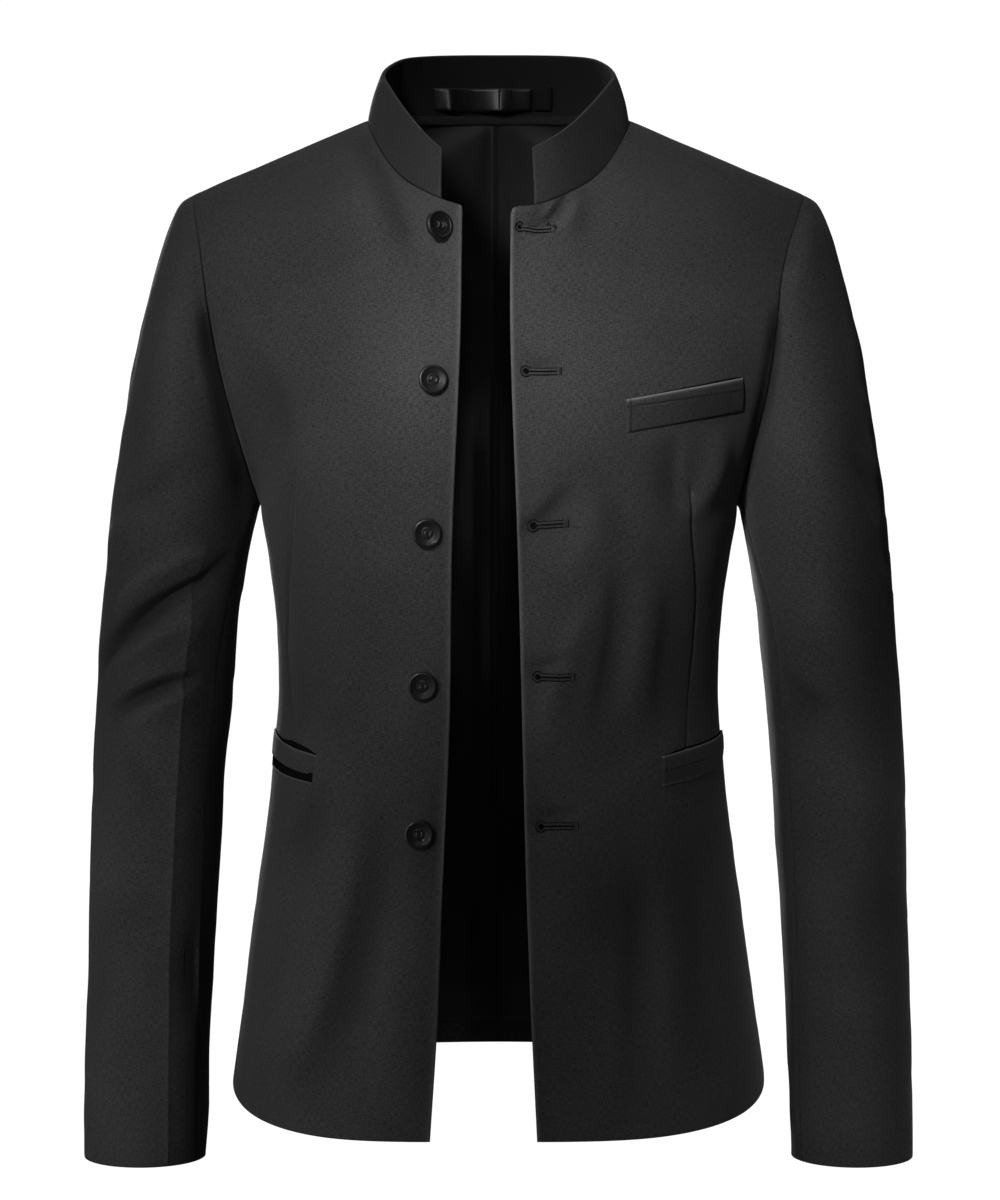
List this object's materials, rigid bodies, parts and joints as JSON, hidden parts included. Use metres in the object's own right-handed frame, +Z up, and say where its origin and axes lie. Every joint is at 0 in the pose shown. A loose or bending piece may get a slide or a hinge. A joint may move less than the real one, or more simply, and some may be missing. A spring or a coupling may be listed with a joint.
{
  "type": "stand collar suit jacket",
  "caption": "Dark charcoal stand collar suit jacket, worn open, with breast welt, hip flaps, black buttons and a satin back lining",
  "frame": {"origin": "in the middle of the neck opening, at the height where the shoulder seams meet the stand collar; the wearer's neck passes through it", "axes": "+Z up the wearer's body; -Y to the front of the jacket; +X to the wearer's left, which is the viewer's right from the front"},
  "size_m": [0.6092, 0.2691, 0.8106],
  "materials": {
    "suiting": "matte plain weave, dark charcoal",
    "lining": "black satin",
    "button": "polished black resin"
  },
  "bodies": {
    "root": {"front_right": "suiting", "front_left": "suiting", "back_right": "suiting", "back_left": "suiting", "top_sleeve_right": "suiting", "under_sleeve_right": "suiting", "top_sleeve_left": "suiting", "under_sleeve_left": "suiting", "collar": "suiting", "back_lining_right": "lining", "back_lining_left": "lining", "breast_welt": "suiting", "hip_flap_right": "suiting", "hip_flap_left": "suiting", "hanger_loop": "lining", "size_tab": "lining", "button_1": "button", "button_2": "button", "button_3": "button", "button_4": "button", "button_5": "button"}
  },
  "joints": []
}
